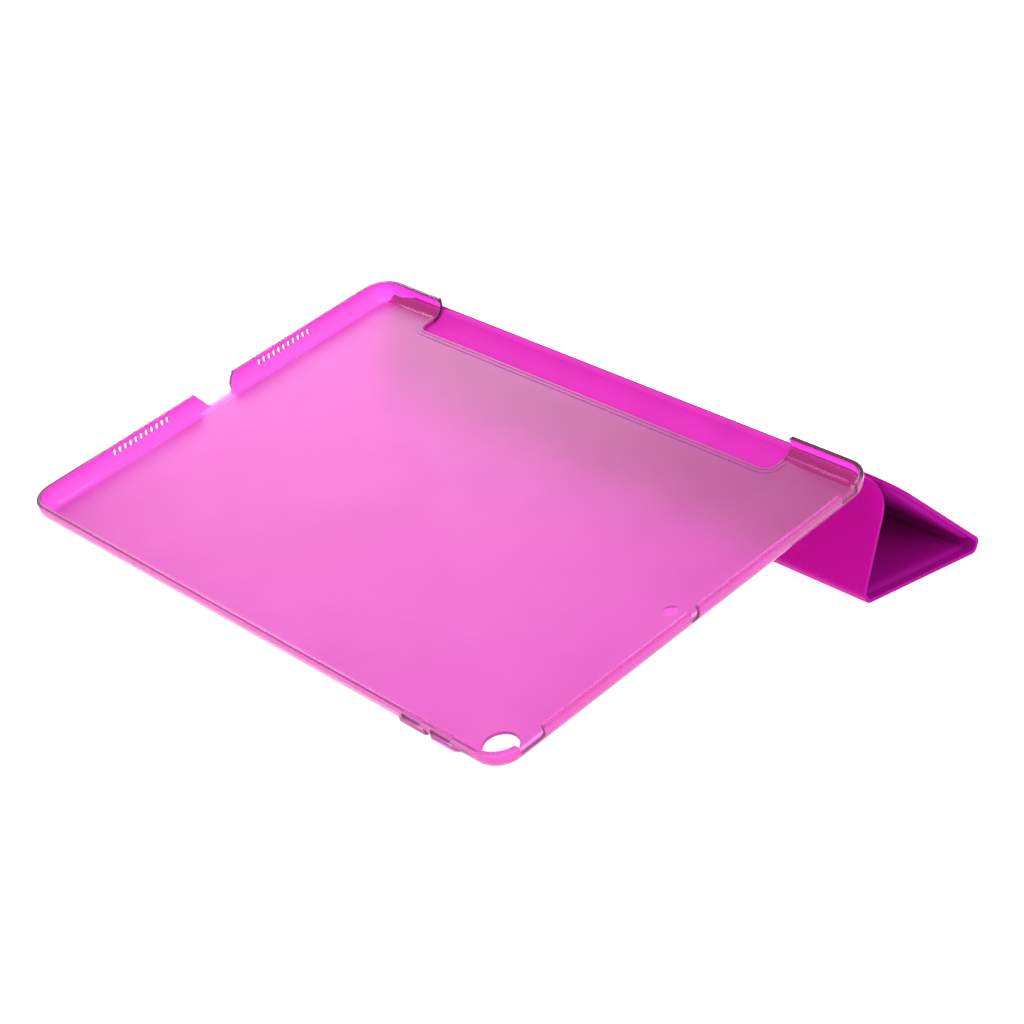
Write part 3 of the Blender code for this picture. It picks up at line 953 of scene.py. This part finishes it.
def spine_pieces(tag, curve, body, next_body, cads):
    """Leather and lining along one half of the spine."""
    row = list(np.linspace(*FLAP_MIDDLE, 60))
    blend_to = (next_body, curve[0], curve[-1])
    strip(tag + "_leather", curve, lambda i: row, lambda i, x: LEATHER_FACE,
          lambda i, x: -HALF, LEATHER, body, cads[0], blend_to, soft=False)
    # The spine's lining is the microfibre copy painted lighter, with painted light and painted sheen.
    strip(tag + "_microfibre", curve, lambda i: row, lambda i, x: HALF,
          lambda i, x: LINING_FACE, PAINTED_LIGHT_FLAP_LINING, body, cads[1], blend_to, soft=False)


def build_spine():
    """From the flap's end over the hinge crease, and down to panel 1."""
    start = 176.0
    slope = math.degrees(math.asin((start - FLAP_BEND) / FLAP_RADIUS))
    flap_end = Local(TRAY_SECTION.at(start, flap_middle(start)), TILT_DEGREES + slope)
    rise = bend(flap_end, 0.0, SPINE, SPINE_WIDTH / 2, 0.0, 0.0, 10)
    spine_pieces("spine_rise", rise, "tray", "spine", (None, None))
    fall = bend(SPINE, SPINE_WIDTH / 2, PANEL_1, 1.6, 0.0, 0.0, 10)
    spine_pieces("spine_fall", fall, "spine", "panel_1", ("spine_skin", "spine_lining"))


def dress_inner_nodes():
    """Boards, strip, magnets and tape keep their shapes and get their own materials."""
    looks = {"board": BOARD, "keeper": STEEL, "magnet": MAGNET, "tape": TAPE}
    for name, obj in frame["nodes"].items():
        for key, material in looks.items():
            if key in name:
                obj.data.materials.clear()
                obj.data.materials.append(material)


# --- Stage, in metres ---------------------------------------------------------------------

WHITE = (1, 1, 1, 1)


def build_floor():
    """White table, which glows a little so that it stays even."""
    bm = bmesh.new()
    bmesh.ops.create_grid(bm, x_segments=1, y_segments=1, size=4.0)
    floor = finish_mesh("floor", bm)
    floor.location.z = -0.0002
    material, _, shader = new_material("white table")
    shader.inputs["Base Color"].default_value = (0.42, 0.42, 0.42, 1)
    shader.inputs["Roughness"].default_value = 0.9
    shader.inputs["Specular IOR Level"].default_value = 0.0
    shader.inputs["Emission Color"].default_value = WHITE
    shader.inputs["Emission Strength"].default_value = 0.93
    floor.data.materials.append(material)


def build_world():
    world = bpy.data.worlds.new("soft studio")
    bpy.context.scene.world = world
    world.use_nodes = True
    background = world.node_tree.nodes["Background"]
    background.inputs["Color"].default_value = WHITE
    background.inputs["Strength"].default_value = 0.62


def area_light(name, place, target, size, power):
    light = bpy.data.lights.new(name, "AREA")
    light.shape = "RECTANGLE"
    light.size, light.size_y = size
    light.energy = power
    obj = bpy.data.objects.new(name, light)
    bpy.context.collection.objects.link(obj)
    obj.location = place
    aim = Vector(target) - Vector(place)
    obj.rotation_euler = aim.to_track_quat("-Z", "Y").to_euler()


def build_camera():
    data = bpy.data.cameras.new("camera")
    data.lens = 89.5536
    data.sensor_width = 36.0
    data.clip_start = 0.01
    data.clip_end = 20.0
    camera = bpy.data.objects.new("camera", data)
    bpy.context.collection.objects.link(camera)
    camera.location = (0.6085266, -0.5591589, 0.3978198)
    camera.rotation_euler = [math.radians(a) for a in (64.76620699, -0.20877174, 47.12151317)]
    scene = bpy.context.scene
    scene.camera = camera
    scene.view_settings.view_transform = "Standard"
    scene.view_settings.look = "None"


def build_stage():
    build_floor()
    build_world()
    area_light("top softbox", (-0.3, -0.3, 1.15), (-0.02, 0.03, 0), (0.9, 0.8), 5.9)
    area_light("left highlight", (-0.58, 0.25, 0.44), (-0.1, 0.03, 0), (0.36, 0.36), 1.6)
    area_light("front fill", (0.25, -1.1, 0.45), (0.05, 0.03, 0.02), (0.9, 0.5), 1.1)
    area_light("side light", (0.75, 0.02, 0.42), (0.11, 0.095, 0.0), (0.25, 0.25), 0.45)
    build_camera()


build_stage()
build_tray()
build_cover()
build_flap()
build_spine()
dress_inner_nodes()
